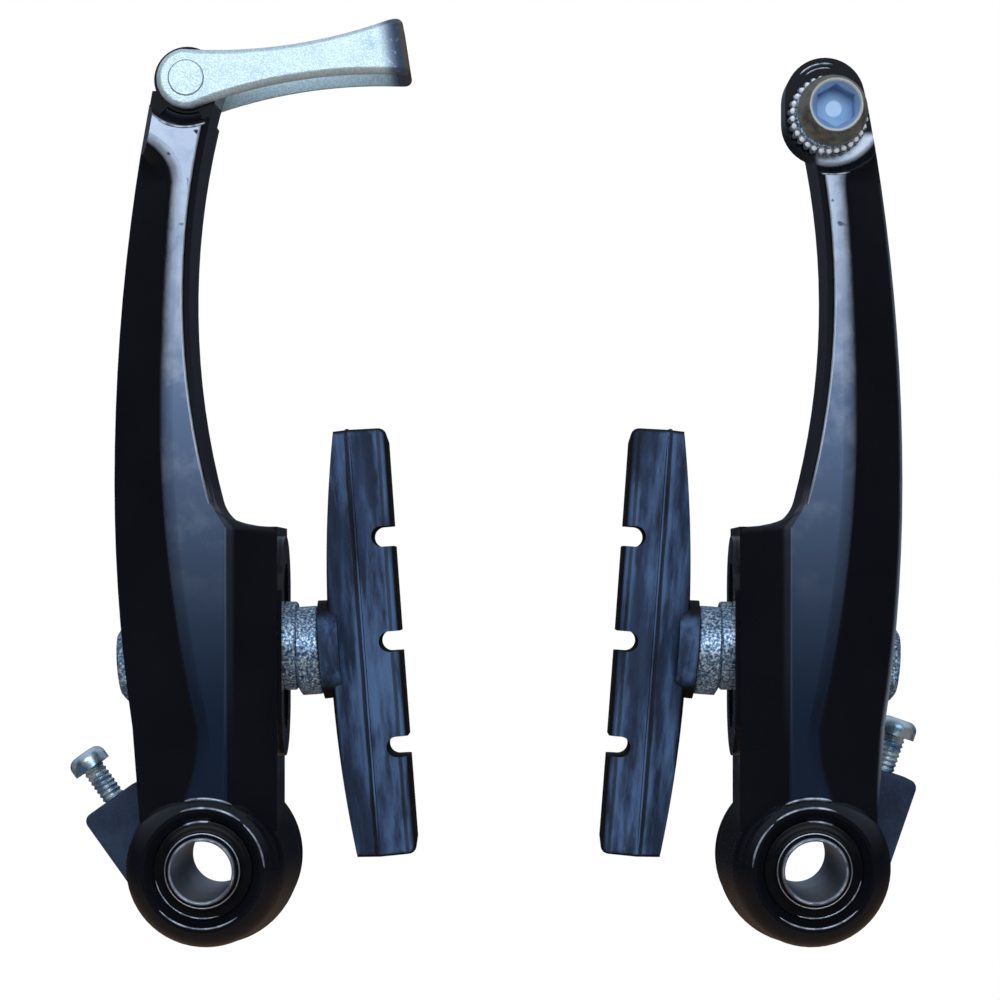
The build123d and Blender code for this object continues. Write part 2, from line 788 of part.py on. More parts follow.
def build_link():
    inner_back = link_lug_back - link_side_gap
    inner_front = link_lug_front + link_side_gap
    back = inner_back - link_sheet
    front = inner_front + link_sheet
    half = link_length / 2
    with BuildPart() as link:
        # Stirrup cut from a solid of the cheek outline, flared at the foot of its end
        with BuildSketch(link_plane(back)):
            with BuildLine():
                ThreePointArc((0, link_end_radius), (-link_end_radius, 0), (0, -link_end_radius))
                low_points = [(0, -link_end_radius), (half, -link_waist), (link_length, -link_tip_half)]
                lower = ThreePointArc(*low_points, mode=Mode.PRIVATE)
                lower = lower.trim(0, 1 - link_flare_length / link_length)
                add(lower)
                foot = (link_length, -link_tip_half - link_flare)
                TangentArc(lower @ 1, foot, tangent=lower % 1)
                Line(foot, (link_length, link_tip_half))
                ThreePointArc((link_length, link_tip_half), (half, link_waist), (0, link_end_radius))
            make_face()
        extrude(amount=front - back)
        ends = [link_plane(depth).from_local_coords((link_length, 0, 0)) for depth in (back, front)]
        fillet([link.edges().sort_by_distance(end)[0] for end in ends], 2.2)
        cheeks = [link.faces().sort_by(Axis.Y)[pick] for pick in (0, -1)]
        rims = [edge for cheek in cheeks for edge in cheek.edges().filter_by(GeomType.CIRCLE)]
        fillet(rims, link_edge_round)
        with BuildSketch(link_plane(inner_back)):
            with Locations((half - link_sheet - 10, 0)):
                Rectangle(link_length + 20, 14)
        extrude(amount=inner_front - inner_back, mode=Mode.SUBTRACT)
        bend = (link_length - link_sheet, 0, 0)
        bends = [link_plane(depth).from_local_coords(bend) for depth in (inner_back, inner_front)]
        fillet([link.edges().sort_by_distance(point)[0] for point in bends], 0.6)

        # Rivet hole, and the keyhole that the noodle drops into
        with BuildSketch(link_plane(back)):
            Circle(rivet_diameter / 2 + running_gap)
        extrude(amount=front - back, mode=Mode.SUBTRACT)
        base = link_plane((back + front) / 2)
        tip = Plane(
            origin=base.from_local_coords((link_length, 0, 0)), x_dir=(0, -1, 0), z_dir=base.x_dir
        )
        with BuildSketch(tip):
            Circle(noodle_hole_radius)
            with Locations((0, -link_tip_half / 2 - 0.5)):
                Rectangle(noodle_slot_width, link_tip_half + 1)
        extrude(amount=-link_sheet - 0.5, mode=Mode.SUBTRACT)
    return link.part


def build_rivet():
    back = link_lug_back - link_side_gap - link_sheet - 0.15
    front = link_lug_front + link_side_gap + link_sheet + 0.15
    with BuildPart() as rivet:
        with BuildSketch(link_plane(back)):
            Circle(rivet_diameter / 2)
        extrude(amount=front - back)
        chamfer(rivet.edges().filter_by(GeomType.CIRCLE), 0.15)
    return rivet.part


def build_clamp_washer():
    # The loose washer has slipped to one side of its bolt
    front = anchor_seat + clamp_washer_thickness
    middle_u = lug_u + clamp_washer_shift[0]
    middle_z = anchor_z + clamp_washer_shift[1]
    with BuildPart() as washer:
        with BuildSketch(facing(anchor_seat)):
            with Locations((middle_u, middle_z)):
                Circle(clamp_washer_radius)
                Circle(anchor_thread / 2 + clamp_washer_play, mode=Mode.SUBTRACT)
                with PolarLocations(clamp_washer_radius, clamp_teeth):
                    Rectangle(clamp_tooth_cut, clamp_tooth_cut, rotation=45, mode=Mode.SUBTRACT)
        extrude(amount=clamp_washer_thickness)

        # Bevelled front rim
        with BuildSketch(turning(middle_u, middle_z)):
            with BuildLine():
                Polyline(
                    (0, anchor_seat),
                    (clamp_washer_radius, anchor_seat),
                    (clamp_washer_radius, front - clamp_washer_bevel),
                    (clamp_washer_radius - clamp_washer_bevel, front),
                    (0, front),
                    close=True,
                )
            make_face()
        middle_axis = Axis((pivot_x + middle_u, 0, middle_z), (0, -1, 0))
        revolve(axis=middle_axis, mode=Mode.INTERSECT)

        # Cable groove on the seat side
        groove_x = pivot_x + lug_u + anchor_thread / 2 + 0.9
        with BuildSketch(Plane(origin=(groove_x, -anchor_seat, anchor_z))):
            Circle(cable_groove_radius)
        extrude(amount=10, both=True, mode=Mode.SUBTRACT)
    return washer.part


def build_anchor_bolt():
    seat = anchor_seat + clamp_washer_thickness
    top = seat + bolt_head_height
    shank = anchor_thread / 2
    with BuildPart() as bolt:
        with BuildSketch(turning(lug_u, anchor_z)):
            with BuildLine():
                Polyline(
                    (0, arm_back - 1.8),
                    (shank - 0.6, arm_back - 1.8),
                    (shank, arm_back - 1.2),
                    (shank, seat),
                    (bolt_head_base, seat),
                    (bolt_head_base, seat + bolt_head_flange),
                    (bolt_head_top, top),
                    (bolt_socket_flats / 2 + bolt_socket_lead, top),
                    (bolt_socket_flats / 2, top - bolt_socket_lead),
                    (0, top - bolt_socket_lead),
                    close=True,
                )
            make_face()
        revolve(axis=anchor_axis)
        with BuildSketch(facing(top)):
            with Locations((lug_u, anchor_z)):
                RegularPolygon(bolt_socket_flats / sqrt(3), 6, rotation=30)
        extrude(amount=-bolt_socket_depth, mode=Mode.SUBTRACT)
    return bolt.part


post = build_post()
for side in ("left", "right"):
    pieces = {
        "arm": build_arm(side),
        "pivot_bush": build_bush(),
        "pivot_sleeve": build_sleeve(),
        "spring_housing": build_housing(side),
        "return_spring": build_spring(side),
        "tension_screw": build_screw(side),
        "pad_block": build_pad(post),
        "pad_post": post,
        "inner_cup_washer": build_cup(slot_face_u, inner_cup_rim, 1),
        "inner_dome_washer": build_dome(slot_face_u, inner_cup_rim, inner_dome_rim, 1),
        "outer_cup_washer": build_cup(slot_back_u, outer_cup_rim, -1),
        "outer_dome_washer": build_dome(slot_back_u, outer_cup_rim, outer_dome_rim, -1),
        "flat_washer": build_flat_washer(),
        "pad_nut": build_nut(),
    }
    for name, part in pieces.items():
        save(on_side(part, side), f"{side}_{name}")

save(build_link(), "noodle_link")
save(build_rivet(), "link_rivet")
save(on_side(build_clamp_washer(), "right"), "anchor_washer")
save(on_side(build_anchor_bolt(), "right"), "anchor_bolt")
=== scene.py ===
import json
from math import cos, pi, radians, sin, tau

import bmesh
import bpy
import numpy as np
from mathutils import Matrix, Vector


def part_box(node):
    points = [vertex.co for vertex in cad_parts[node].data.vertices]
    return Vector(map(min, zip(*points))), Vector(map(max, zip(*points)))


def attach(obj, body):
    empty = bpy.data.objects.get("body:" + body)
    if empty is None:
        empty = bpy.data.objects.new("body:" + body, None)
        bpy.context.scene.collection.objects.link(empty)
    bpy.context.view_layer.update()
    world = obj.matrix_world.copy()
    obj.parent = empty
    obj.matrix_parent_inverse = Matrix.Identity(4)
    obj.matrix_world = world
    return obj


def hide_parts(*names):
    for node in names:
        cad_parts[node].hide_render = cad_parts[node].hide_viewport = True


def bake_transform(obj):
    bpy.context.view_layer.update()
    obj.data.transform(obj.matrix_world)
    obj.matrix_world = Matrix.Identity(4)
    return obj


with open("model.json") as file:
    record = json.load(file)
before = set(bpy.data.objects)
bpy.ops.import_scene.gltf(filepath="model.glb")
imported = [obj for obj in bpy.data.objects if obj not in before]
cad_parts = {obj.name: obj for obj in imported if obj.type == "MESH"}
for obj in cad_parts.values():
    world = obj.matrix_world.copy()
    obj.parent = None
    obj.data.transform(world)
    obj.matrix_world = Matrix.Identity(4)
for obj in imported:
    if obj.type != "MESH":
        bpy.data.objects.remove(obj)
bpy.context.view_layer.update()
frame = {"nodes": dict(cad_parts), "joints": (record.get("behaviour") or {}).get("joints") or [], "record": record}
nodes = frame["nodes"]
joints = {joint["name"]: joint for joint in frame["joints"]}
print("frame loaded with", len(nodes), "nodes")

mm = 0.001
sides = {"left": 1, "right": -1}  # which way is inward along x
pivotX = abs(joints["left_arm_pivot"]["pos_m"][0])
pivotMm = -pivotX / mm  # the left pivot, for pieces worked out in millimetres
linkRivet = (-2.5, 106.7)  # from the left pivot, in millimetres


def metres(span):
    return [place * mm for place in span]


class Wire:  # one shader socket; sums on it add Math nodes
    def __init__(self, tree, socket):
        self.tree, self.socket = tree, socket

    def node(self, kind, settings=None, sockets=None, out=0):  # any other node: settings first, then sockets
        made = self.tree.nodes.new(kind)
        for key, value in (settings or {}).items():
            setattr(made, key, value)
        for key, value in (sockets or {}).items():
            if isinstance(value, Wire):
                self.tree.links.new(value.socket, made.inputs[key])
            else:
                made.inputs[key].default_value = value
        return Wire(self.tree, made.outputs[out])

    def maths(self, operation, first, second=0.0):
        return self.node("ShaderNodeMath", {"operation": operation}, {0: first, 1: second})

    def __add__(self, other):
        return self.maths("ADD", self, other)

    def __sub__(self, other):
        return self.maths("SUBTRACT", self, other)

    def __rsub__(self, other):
        return self.maths("SUBTRACT", other, self)

    def __mul__(self, other):
        return self.maths("MULTIPLY", self, other)

    def __pow__(self, other):
        return self.maths("POWER", self, other)

    def __abs__(self):
        return self.maths("ABSOLUTE", self)

    __radd__ = __add__
    __rmul__ = __mul__

    def most(self, other):  # the larger of two values
        return self.maths("MAXIMUM", self, other)

    def between(self, low, high):  # 0 below low, 1 above high, eased between them
        sockets = {"Value": self, "From Min": low, "From Max": high}
        return self.node("ShaderNodeMapRange", {"interpolation_type": "SMOOTHSTEP"}, sockets)

    def within(self, low, full, fade, gone):  # 1 from full to fade, eased to 0 at low and at gone
        return self.between(low, full) * (1 - self.between(fade, gone))

    def blend(self, dark, light):  # this value chooses between two colours
        pick = {0: self, 6: self.colour(dark), 7: self.colour(light)}
        return self.node("ShaderNodeMix", {"data_type": "RGBA"}, pick, out=2)

    def colour(self, value):
        return value if isinstance(value, Wire) else (*value, 1)

    def axis(self, which):
        return self.node("ShaderNodeSeparateXYZ", None, {0: self}, out="XYZ".index(which))

    def stretched(self, scale, turn=(0, 0, 0)):
        return self.node("ShaderNodeMapping", None, {"Vector": self, "Scale": scale, "Rotation": turn})

    def noise(self, scale, detail=2.0, rough=0.5):
        sockets = {"Vector": self, "Scale": scale, "Detail": detail, "Roughness": rough}
        return self.node("ShaderNodeTexNoise", None, sockets)

    def relief(self, distance, strength):  # this value as a height, in millimetres
        sockets = {"Height": self, "Distance": distance * mm, "Strength": strength}
        return self.node("ShaderNodeBump", None, sockets)


def newFinish(name, fixed):  # a principled material; fixed values go straight on its sockets
    material = bpy.data.materials.new(name)
    material.use_nodes = True
    tree = material.node_tree
    shader = tree.nodes["Principled BSDF"]
    for key, value in fixed.items():
        shader.inputs[key].default_value = value
    coords = Wire(tree, tree.nodes.new("ShaderNodeTexCoord").outputs["Object"])
    return material, shader, coords


def feed(shader, **sockets):  # what changes over the surface
    names = {"colour": "Base Color", "rough": "Roughness", "metal": "Metallic", "normal": "Normal",
             "glow": "Emission Color", "coat": "Coat Weight"}
    for key, wire in sockets.items():
        wire.tree.links.new(wire.socket, shader.inputs[names[key]])


def ownNormal(coords):  # turns with the piece
    return coords.node("ShaderNodeTexCoord", out="Normal")


def reachOf(across, up):
    return (across * across + up * up) ** 0.5


def fromPivot(coords):  # distance from the nearer pivot axis, in metres
    return reachOf(abs(coords.axis("X")) - pivotX, coords.axis("Z"))


# In the finishes a Noise is scale, detail and roughness, a Range is of noise, a Tilt is of the normal,
# a relief is height and strength, and places are in millimetres.
armPaint = {
    "black": (0.0035, 0.004, 0.006), "sheen": (0.007, 0.008, 0.0115), "sheenNoise": (90, 2),
    # ridgeFoot, ridgeWaist and ridgeHead are a painted reflection, dark low and pale high
    "ridgeFoot": (0.02, 0.035, 0.07), "ridgeWaist": (0.2, 0.28, 0.44), "ridgeHead": (0.54, 0.62, 0.76),
    "waistRise": (18, 80), "headRise": (60, 95),
    "ridgeDepth": (23.1, 23.4, 23.75, 24.0), "ridgeTilt": (0.93, 0.995),
    "outerCut": (46.2, 46.7), "cutRise": (84, 86),
    "dull": (0.16, 0.21, 0.31), "dullNoise": (330, 4, 0.6), "dullRange": (0.5, 0.72),
    "dullRise": (50, 90), "dullShare": 0.5,
    # the pale colour here is the painted reflection's pale, in patches on the ridge and on the anchor seat
    "reflectionPale": (0.68, 0.75, 0.87), "cloudNoise": (190, 4, 0.55), "bloomRange": (0.45, 0.68),
    "bloomRise": (30, 100), "bloomShare": 0.7,
    "pit": (0.02, 0.022, 0.03), "pitNoise": (640, 0), "pitRange": (0.72, 0.78), "pitRise": (80, 90),
    # the anchor seat's crescent is a painted reflection
    "seatDepth": (20.1, 20.25, 20.45, 20.75), "seatTilt": (0.85, 0.99),
    "seatTop": (98.6, 99.8), "seatStart": (41.3, 42.4),
    # edge is a painted highlight along the ridge's inner edge
    "edge": (0.62, 0.68, 0.8), "edgeDepth": (22.9, 23.2), "edgeTilt": (0.1, 0.2, 0.5, 0.65),
    "faintRise": (12, 30), "fullRise": (44, 60), "faintShare": 0.1,
    # the flank colours are a painted reflection, in streaks
    "flankReflectionDark": (0.026, 0.031, 0.056), "flankReflectionWarm": (0.1, 0.085, 0.08), "flankTilt": (0.6, 0.85),
    "flankReach": (11.5, 14.0, 50.0, 53.0), "flankAlong": (1, 1, 0.25), "flankNoise": (700, 3),
    "flankRange": (0.4, 0.7),
    "lacquer": 0.6, "frontTilt": (0.86, 0.97), "dish": (7.8, 8.3), "reflectionMetal": 0.9,
    "gloss": 0.12, "cloudRough": 0.05, "satin": 0.18, "grainNoise": (2600, 2), "grainRough": 0.2,
    "peelNoise": (420, 1), "peelShare": 0.4, "grainShare": 0.3, "cloudShare": 0.4, "relief": (0.02, 0.5),
}


def makeArmPaint(look):  # gloss black, with a painted reflection as pale satin metal on the flat front ridge and the anchor seat, and a painted highlight along the ridge's inner edge
    material, shader, coords = newFinish("armPaint", {"Specular IOR Level": 0.08, "Coat Roughness": 0.06})
    across, height = coords.axis("X"), coords.axis("Z")
    depth = 0 - coords.axis("Y")
    normal = ownNormal(coords)
    forward = 0 - normal.axis("Y")
    inward = 0 - normal.axis("X") * across.maths("SIGN", across)
    cloud, grain = coords.noise(*look["cloudNoise"]), coords.noise(*look["grainNoise"])

    def rise(key):  # 0 to 1 over a range of heights
        return height.between(*metres(look[key]))

    # painted reflection and painted highlight, given as satin metal on the black: on the ridge, the anchor seat
    # and the ridge's inner edge
    ridge = depth.within(*metres(look["ridgeDepth"])) * forward.between(*look["ridgeTilt"])
    ridge = ridge * (1 - rise("cutRise") * across.between(*metres(look["outerCut"])))
    # the anchor seat's crescent, painted pale as a reflection
    seat = depth.within(*metres(look["seatDepth"])) * forward.between(*look["seatTilt"])
    seat = seat * (1 - rise("seatTop")) * across.between(*metres(look["seatStart"]))
    # a painted highlight line along the ridge's inner edge
    edge = depth.between(*metres(look["edgeDepth"])) * inward.within(*look["edgeTilt"])
    edge = edge * (look["faintShare"] * rise("faintRise") + (1 - look["faintShare"]) * rise("fullRise"))
    bare = ridge.most(seat).most(edge)

    # the satin there, a painted reflection: dark at the foot, pale at the head, mottled with pale patches that add
    # to it towards the head, and pitted
    satin = rise("waistRise").blend(look["ridgeFoot"], look["ridgeWaist"])
    satin = rise("headRise").blend(satin, look["ridgeHead"])
    dulled = coords.noise(*look["dullNoise"]).between(*look["dullRange"]) * rise("dullRise")
    satin = (dulled * look["dullShare"]).blend(satin, look["dull"])
    bloomed = cloud.between(*look["bloomRange"]) * rise("bloomRise")
    satin = (bloomed * look["bloomShare"]).blend(satin, look["reflectionPale"])
    pits = coords.noise(*look["pitNoise"]).between(*look["pitRange"]) * rise("pitRise")
    satin = pits.blend(seat.blend(satin, look["reflectionPale"]), look["pit"])
    # the inner edge takes the painted highlight colour
    satin = edge.blend(satin, look["edge"])

    # the black elsewhere, with a painted reflection in dark blue and warm brown streaks on the lower inner flank
    flank = inward.between(*look["flankTilt"]) * height.within(*metres(look["flankReach"]))
    streaks = coords.stretched(look["flankAlong"]).noise(*look["flankNoise"]).between(*look["flankRange"])
    black = coords.noise(*look["sheenNoise"]).blend(look["black"], look["sheen"])
    black = flank.blend(black, streaks.blend(look["flankReflectionDark"], look["flankReflectionWarm"]))

    outside = fromPivot(coords).between(*metres(look["dish"]))
    lacquer = look["lacquer"] * (1 - forward.between(*look["frontTilt"])) * (1 - bare) * outside
    feed(shader, colour=bare.blend(black, satin), metal=bare * look["reflectionMetal"], coat=lacquer)
    dullness = bare * (look["satin"] + look["grainRough"] * grain)
    feed(shader, rough=look["gloss"] + look["cloudRough"] * cloud + dullness)
    worn = bare * (grain * look["grainShare"] + cloud * look["cloudShare"])
    peel = coords.noise(*look["peelNoise"]) * look["peelShare"] + worn
    feed(shader, normal=peel.relief(*look["relief"]))
    return material


# bright bluish metal that paints highlights onto thin edges
highlightPaint = {"low": (0.2, 0.23, 0.3), "high": (0.62, 0.68, 0.78), "glintNoise": (800, 3),
            "glintRange": (0.35, 0.65), "rough": 0.26, "grainNoise": (1500, 2), "grainRough": 0.2}


def makeHighlightPaint(look):  # a painted highlight for thin raised edges: bright bluish metal, patchy
    material, shader, coords = newFinish("highlightPaint", {"Metallic": 0.8})
    # patchiness within the painted highlight
    wear = coords.noise(*look["glintNoise"]).between(*look["glintRange"])
    feed(shader, colour=wear.blend(look["low"], look["high"]))
    feed(shader, rough=look["rough"] + look["grainRough"] * coords.noise(*look["grainNoise"]))
    return material


zincPlate = {
    "bright": (0.8, 0.95, 1.0), "shade": (0.34, 0.52, 0.66), "cloudNoise": (230, 4, 0.6),
    "cloudRange": (0.55, 0.75), "cloudShare": 0.3,
    "crackleNoise": (2300, 2, 0.5), "crackleLevel": 0.5, "crackleWidth": 0.095, "crackleShare": 0.5,
    # the dark colour here is a painted shade towards the end plate
    "endShade": (0.1, 0.14, 0.22), "stainNoise": (900, 4, 0.65), "stainRange": (0.22, 0.42),
    "tarnish": (0.2, 0.17, 0.14), "angle": 8.8, "endShadeReach": (26.2, 28.3), "plateReach": (29.2, 29.6),
    "rough": 0.3, "cloudRough": 0.15, "grainNoise": (2600, 2), "crackleDent": 0.5, "relief": (0.03, 0.5),
}


def makeLinkZinc(look):  # bright plating, crackled all over, with a patchy painted shade towards the end plate, and tarnished on the plate itself
    material, shader, coords = newFinish("linkZinc", {"Metallic": 0.65})
    angle = radians(look["angle"])
    across, up = metres((pivotMm + linkRivet[0], linkRivet[1]))
    along = (coords.axis("X") - across) * cos(angle) + (coords.axis("Z") - up) * sin(angle)
    offLevel = coords.noise(*look["crackleNoise"]) - look["crackleLevel"]
    crackle = 1 - abs(offLevel).between(0, look["crackleWidth"])
    cloud = coords.noise(*look["cloudNoise"])
    shaded = crackle * look["crackleShare"] + cloud.between(*look["cloudRange"]) * look["cloudShare"]
    plated = shaded.blend(look["bright"], look["shade"])
    # a patchy painted shade, darker towards the end plate
    stain = coords.noise(*look["stainNoise"]).between(*look["stainRange"])
    endShaded = (along.between(*metres(look["endShadeReach"])) * stain).blend(plated, look["endShade"])
    feed(shader, colour=along.between(*metres(look["plateReach"])).blend(endShaded, look["tarnish"]))
    feed(shader, rough=look["rough"] + look["cloudRough"] * cloud)
    dented = coords.noise(*look["grainNoise"]) - crackle * look["crackleDent"]
    feed(shader, normal=dented.relief(*look["relief"]))
    return material


washerZinc = {
    "dark": (0.02, 0.06, 0.15), "mid": (0.22, 0.37, 0.57), "bright": (0.9, 0.98, 1.0),
    "grainNoise": (2900, 4, 0.65), "midRange": (0.36, 0.52), "brightRange": (0.5, 0.62),
    "rust": (0.2, 0.15, 0.1), "cloudNoise": (260, 3), "rustRange": (0.6, 0.8), "rustShare": 0.6,
    "rough": 0.28, "cloudRough": 0.25, "relief": (0.06, 0.7),
}


def makeWasherZinc(look):  # bright grains on a darker plating, browner where it has worn
    material, shader, coords = newFinish("washerZinc", {"Metallic": 0.7})
    grain, cloud = coords.noise(*look["grainNoise"]), coords.noise(*look["cloudNoise"])
    lit = grain.between(*look["brightRange"]).blend(look["mid"], look["bright"])
    plated = grain.between(*look["midRange"]).blend(look["dark"], lit)
    rusted = cloud.between(*look["rustRange"]) * look["rustShare"]
    feed(shader, colour=rusted.blend(plated, look["rust"]), rough=look["rough"] + look["cloudRough"] * cloud)
    feed(shader, normal=grain.relief(*look["relief"]))
    return material


screwZinc = {"low": (0.15, 0.34, 0.56), "high": (0.8, 0.95, 1.0), "cloudNoise": (420, 3),
             "cloudRange": (0.35, 0.6), "rough": 0.2, "cloudRough": 0.15, "grainNoise": (1800, 2),
             "relief": (0.01, 0.4)}


def makeScrewZinc(look):  # smooth bright plating
    material, shader, coords = newFinish("screwZinc", {"Metallic": 0.8})
    cloud = coords.noise(*look["cloudNoise"])
    feed(shader, colour=cloud.between(*look["cloudRange"]).blend(look["low"], look["high"]))
    feed(shader, rough=look["rough"] + look["cloudRough"] * cloud)
    feed(shader, normal=coords.noise(*look["grainNoise"]).relief(*look["relief"]))
    return material


turnedSteel = {"low": (0.5, 0.56, 0.64), "high": (0.82, 0.88, 0.95), "marksAlong": (0.05, 1, 0.05),
               "marksNoise": (9000, 2), "marksShare": 0.5, "stainNoise": (300, 3), "stainShare": 0.5,
               "rough": 0.24, "stainRough": 0.2, "relief": (0.01, 0.5)}


def makeSleeveSteel(look):  # fine turning marks round the sleeve
    material, shader, coords = newFinish("sleeveSteel", {"Metallic": 1.0})
    marks = coords.stretched(look["marksAlong"]).noise(*look["marksNoise"])
    stain = coords.noise(*look["stainNoise"])
    tone = marks * look["marksShare"] + stain * look["stainShare"]
    feed(shader, colour=tone.blend(look["low"], look["high"]))
    feed(shader, rough=look["rough"] + look["stainRough"] * stain, normal=marks.relief(*look["relief"]))
    return material


wireSteel = {"low": (0.3, 0.3, 0.31), "high": (0.62, 0.62, 0.62), "linesAlong": (1, 1, 0.06),
             "linesNoise": (3200, 3), "rough": 0.3, "linesRough": 0.2, "relief": (0.02, 0.6)}


def makeWireSteel(look):  # drawn wire with faint lengthwise lines
    material, shader, coords = newFinish("wireSteel", {"Metallic": 1.0})
    lines = coords.stretched(look["linesAlong"]).noise(*look["linesNoise"])
    feed(shader, colour=lines.blend(look["low"], look["high"]))
    feed(shader, rough=look["rough"] + look["linesRough"] * lines, normal=lines.relief(*look["relief"]))
    return material


boltSteel = {  # each reach is from the middle of the bolt
    "low": (0.11, 0.103, 0.085), "high": (0.27, 0.265, 0.225), "oxideNoise": (700, 4, 0.6),
    "oxideRange": (0.3, 0.7), "spot": (0.54, 0.74, 0.98), "spotReach": (1.0, 1.15),
    "socket": (0.27, 0.45, 0.72), "socketReach": (3.1, 3.3), "rim": (0.8, 0.84, 0.88), "rimReach": (3.3, 3.6),
    "rough": 0.36, "oxideRough": 0.18, "grainNoise": (2400, 2), "relief": (0.02, 0.5),
}


def makeBoltSteel(look):  # dark oxide outside, bare blue steel in the socket, a bright edge between
    material, shader, coords = newFinish("boltSteel", {"Metallic": 0.55})
    low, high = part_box("anchor_bolt")
    reach = reachOf(coords.axis("X") - (low.x + high.x) / 2, coords.axis("Z") - (low.z + high.z) / 2)
    pastSpot, pastSocket, pastRim = [
        reach.between(*metres(look[key])) for key in ("spotReach", "socketReach", "rimReach")]
    cloud = coords.noise(*look["oxideNoise"])
    oxide = cloud.between(*look["oxideRange"]).blend(look["low"], look["high"])
    bare = pastSocket.blend(pastSpot.blend(look["spot"], look["socket"]), look["rim"])
    feed(shader, colour=pastRim.blend(bare, oxide), rough=look["rough"] + look["oxideRough"] * cloud)
    feed(shader, normal=coords.noise(*look["grainNoise"]).relief(*look["relief"]))
    return material


padRubber = {
    # deep is the colour of the painted shade
    "deep": (0.004, 0.0045, 0.006), "dark": (0.008, 0.018, 0.046), "mid": (0.018, 0.041, 0.105),
    "scuff": (0.062, 0.125, 0.265), "turnedTilt": (0.6, 0.9),
    "streakAlong": (1, 1, 0.14), "streakNoise": (620, 5, 0.62), "streakRange": (0.3, 0.62),
    "patchAlong": (1, 1, 0.3), "patchNoise": (190, 3), "wobbleNoise": (260, 2), "wobbleLevel": 0.5,
    "wobble": 0.5,
    "grooves": (10.62, 14.9), "grooveHalf": (0.14, 0.34), "grooveShade": (0.85, 0.68),
    "besideHalf": (0.4, 1.0), "besidePaler": (0.07, 0.05),
    "streakWear": 0.6, "patchWear": 0.5, "wornRange": (0.5, 0.72),
    "rough": 0.55, "grainNoise": (2600, 2), "grainRough": 0.25, "wornRough": -0.1,
    "streakShare": 0.7, "grainShare": 0.3, "relief": (0.14, 0.7),
}


def makePadRubber(look, side):  # moulded rubber, streaked along its length, with painted shade in its grooves and on its roundings
    material, shader, coords = newFinish(side + "PadRubber", {"Specular IOR Level": 0.3})
    post, axis = [joints[side + "_pad_swivel"][key] for key in ("pos_m", "axis")]
    lean = np.arctan2(axis[2] * sides[side], axis[0] * sides[side])
    lengthwise = coords.stretched((1, 1, 1), (0, float(lean), 0))
    streak = lengthwise.stretched(look["streakAlong"]).noise(*look["streakNoise"])
    patchy = lengthwise.stretched(look["patchAlong"])
    patch = patchy.noise(*look["patchNoise"])
    wobble = patchy.noise(*look["wobbleNoise"]) - look["wobbleLevel"]
    grain = coords.noise(*look["grainNoise"])
    inward = (coords.axis("X") - post[0]) * axis[0] + (coords.axis("Z") - post[2]) * axis[2]
    inward = inward + wobble * (look["wobble"] * mm)
    away = [abs(inward - place * mm) for place in look["grooves"]]

    def nearGrooves(half, weights):  # each groove's own weight close to it, 0 further off
        near = [1 - gap.between(*metres(look[half])) for gap in away]
        return near[0] * look[weights][0] + near[1] * look[weights][1]

    # painted shade on faces turned from the front and back, and in the two grooves
    turned = 1 - abs(ownNormal(coords).axis("Y")).between(*look["turnedTilt"])
    shade = turned.most(nearGrooves("grooveHalf", "grooveShade"))
    # the streaks and patches of wear, and a paler band beside each groove
    wear = streak * look["streakWear"] + patch * look["patchWear"] + nearGrooves("besideHalf", "besidePaler")
    worn = wear.between(*look["wornRange"])
    fresh = streak.between(*look["streakRange"]).blend(look["dark"], look["mid"])
    feed(shader, colour=shade.blend(worn.blend(fresh, look["scuff"]), look["deep"]))
    feed(shader, rough=look["rough"] + look["grainRough"] * grain + look["wornRough"] * worn)
    ribbed = streak * look["streakShare"] + grain * look["grainShare"]
    feed(shader, normal=ribbed.relief(*look["relief"]))
    return material


mouldedPlastic = {
    "deep": (0.002, 0.0025, 0.004), "low": (0.008, 0.018, 0.043), "high": (0.028, 0.051, 0.108),
    "cloudNoise": (160, 3), "cloudShare": 0.7, "grainNoise": (2400, 3, 0.6), "grainShare": 0.3,
    "toneRange": (0.3, 0.7), "shadeFrom": (1.0, 5.0), "rough": 0.5, "grainRough": 0.2, "relief": (0.04, 0.6),
}


def makeHousingPlastic(look):  # matte moulding with a fine spark-eroded grain, with painted shade inward of the pivot
    material, shader, coords = newFinish("housingPlastic", {"Specular IOR Level": 0.25})
    grain, cloud = coords.noise(*look["grainNoise"]), coords.noise(*look["cloudNoise"])
    tone = (cloud * look["cloudShare"] + grain * look["grainShare"]).between(*look["toneRange"])
    inward = pivotX - abs(coords.axis("X"))
    # painted shade inward of the pivot
    shade = inward.between(*metres(look["shadeFrom"]))
    feed(shader, colour=shade.blend(tone.blend(look["low"], look["high"]), look["deep"]))
    feed(shader, rough=look["rough"] + look["grainRough"] * grain, normal=grain.relief(*look["relief"]))
    return material


bushPlastic = {"low": (0.002, 0.0022, 0.003), "high": (0.006, 0.0068, 0.0095), "cloudNoise": (500, 3),
               "rough": 0.12, "cloudRough": 0.2, "rings": 9000, "ringShare": 0.3, "relief": (0.03, 0.5)}


def makeBushPlastic(look):  # black bearing plastic with faint turned rings
    material, shader, coords = newFinish("bushPlastic", {"Specular IOR Level": 0.15})
    outward = fromPivot(coords) * look["rings"]
    rings = outward.maths("SINE", outward)
    cloud = coords.noise(*look["cloudNoise"])
    feed(shader, colour=cloud.blend(look["low"], look["high"]))
    feed(shader, rough=look["rough"] + look["cloudRough"] * cloud)
    feed(shader, normal=(rings * look["ringShare"] + cloud).relief(*look["relief"]))
    return material


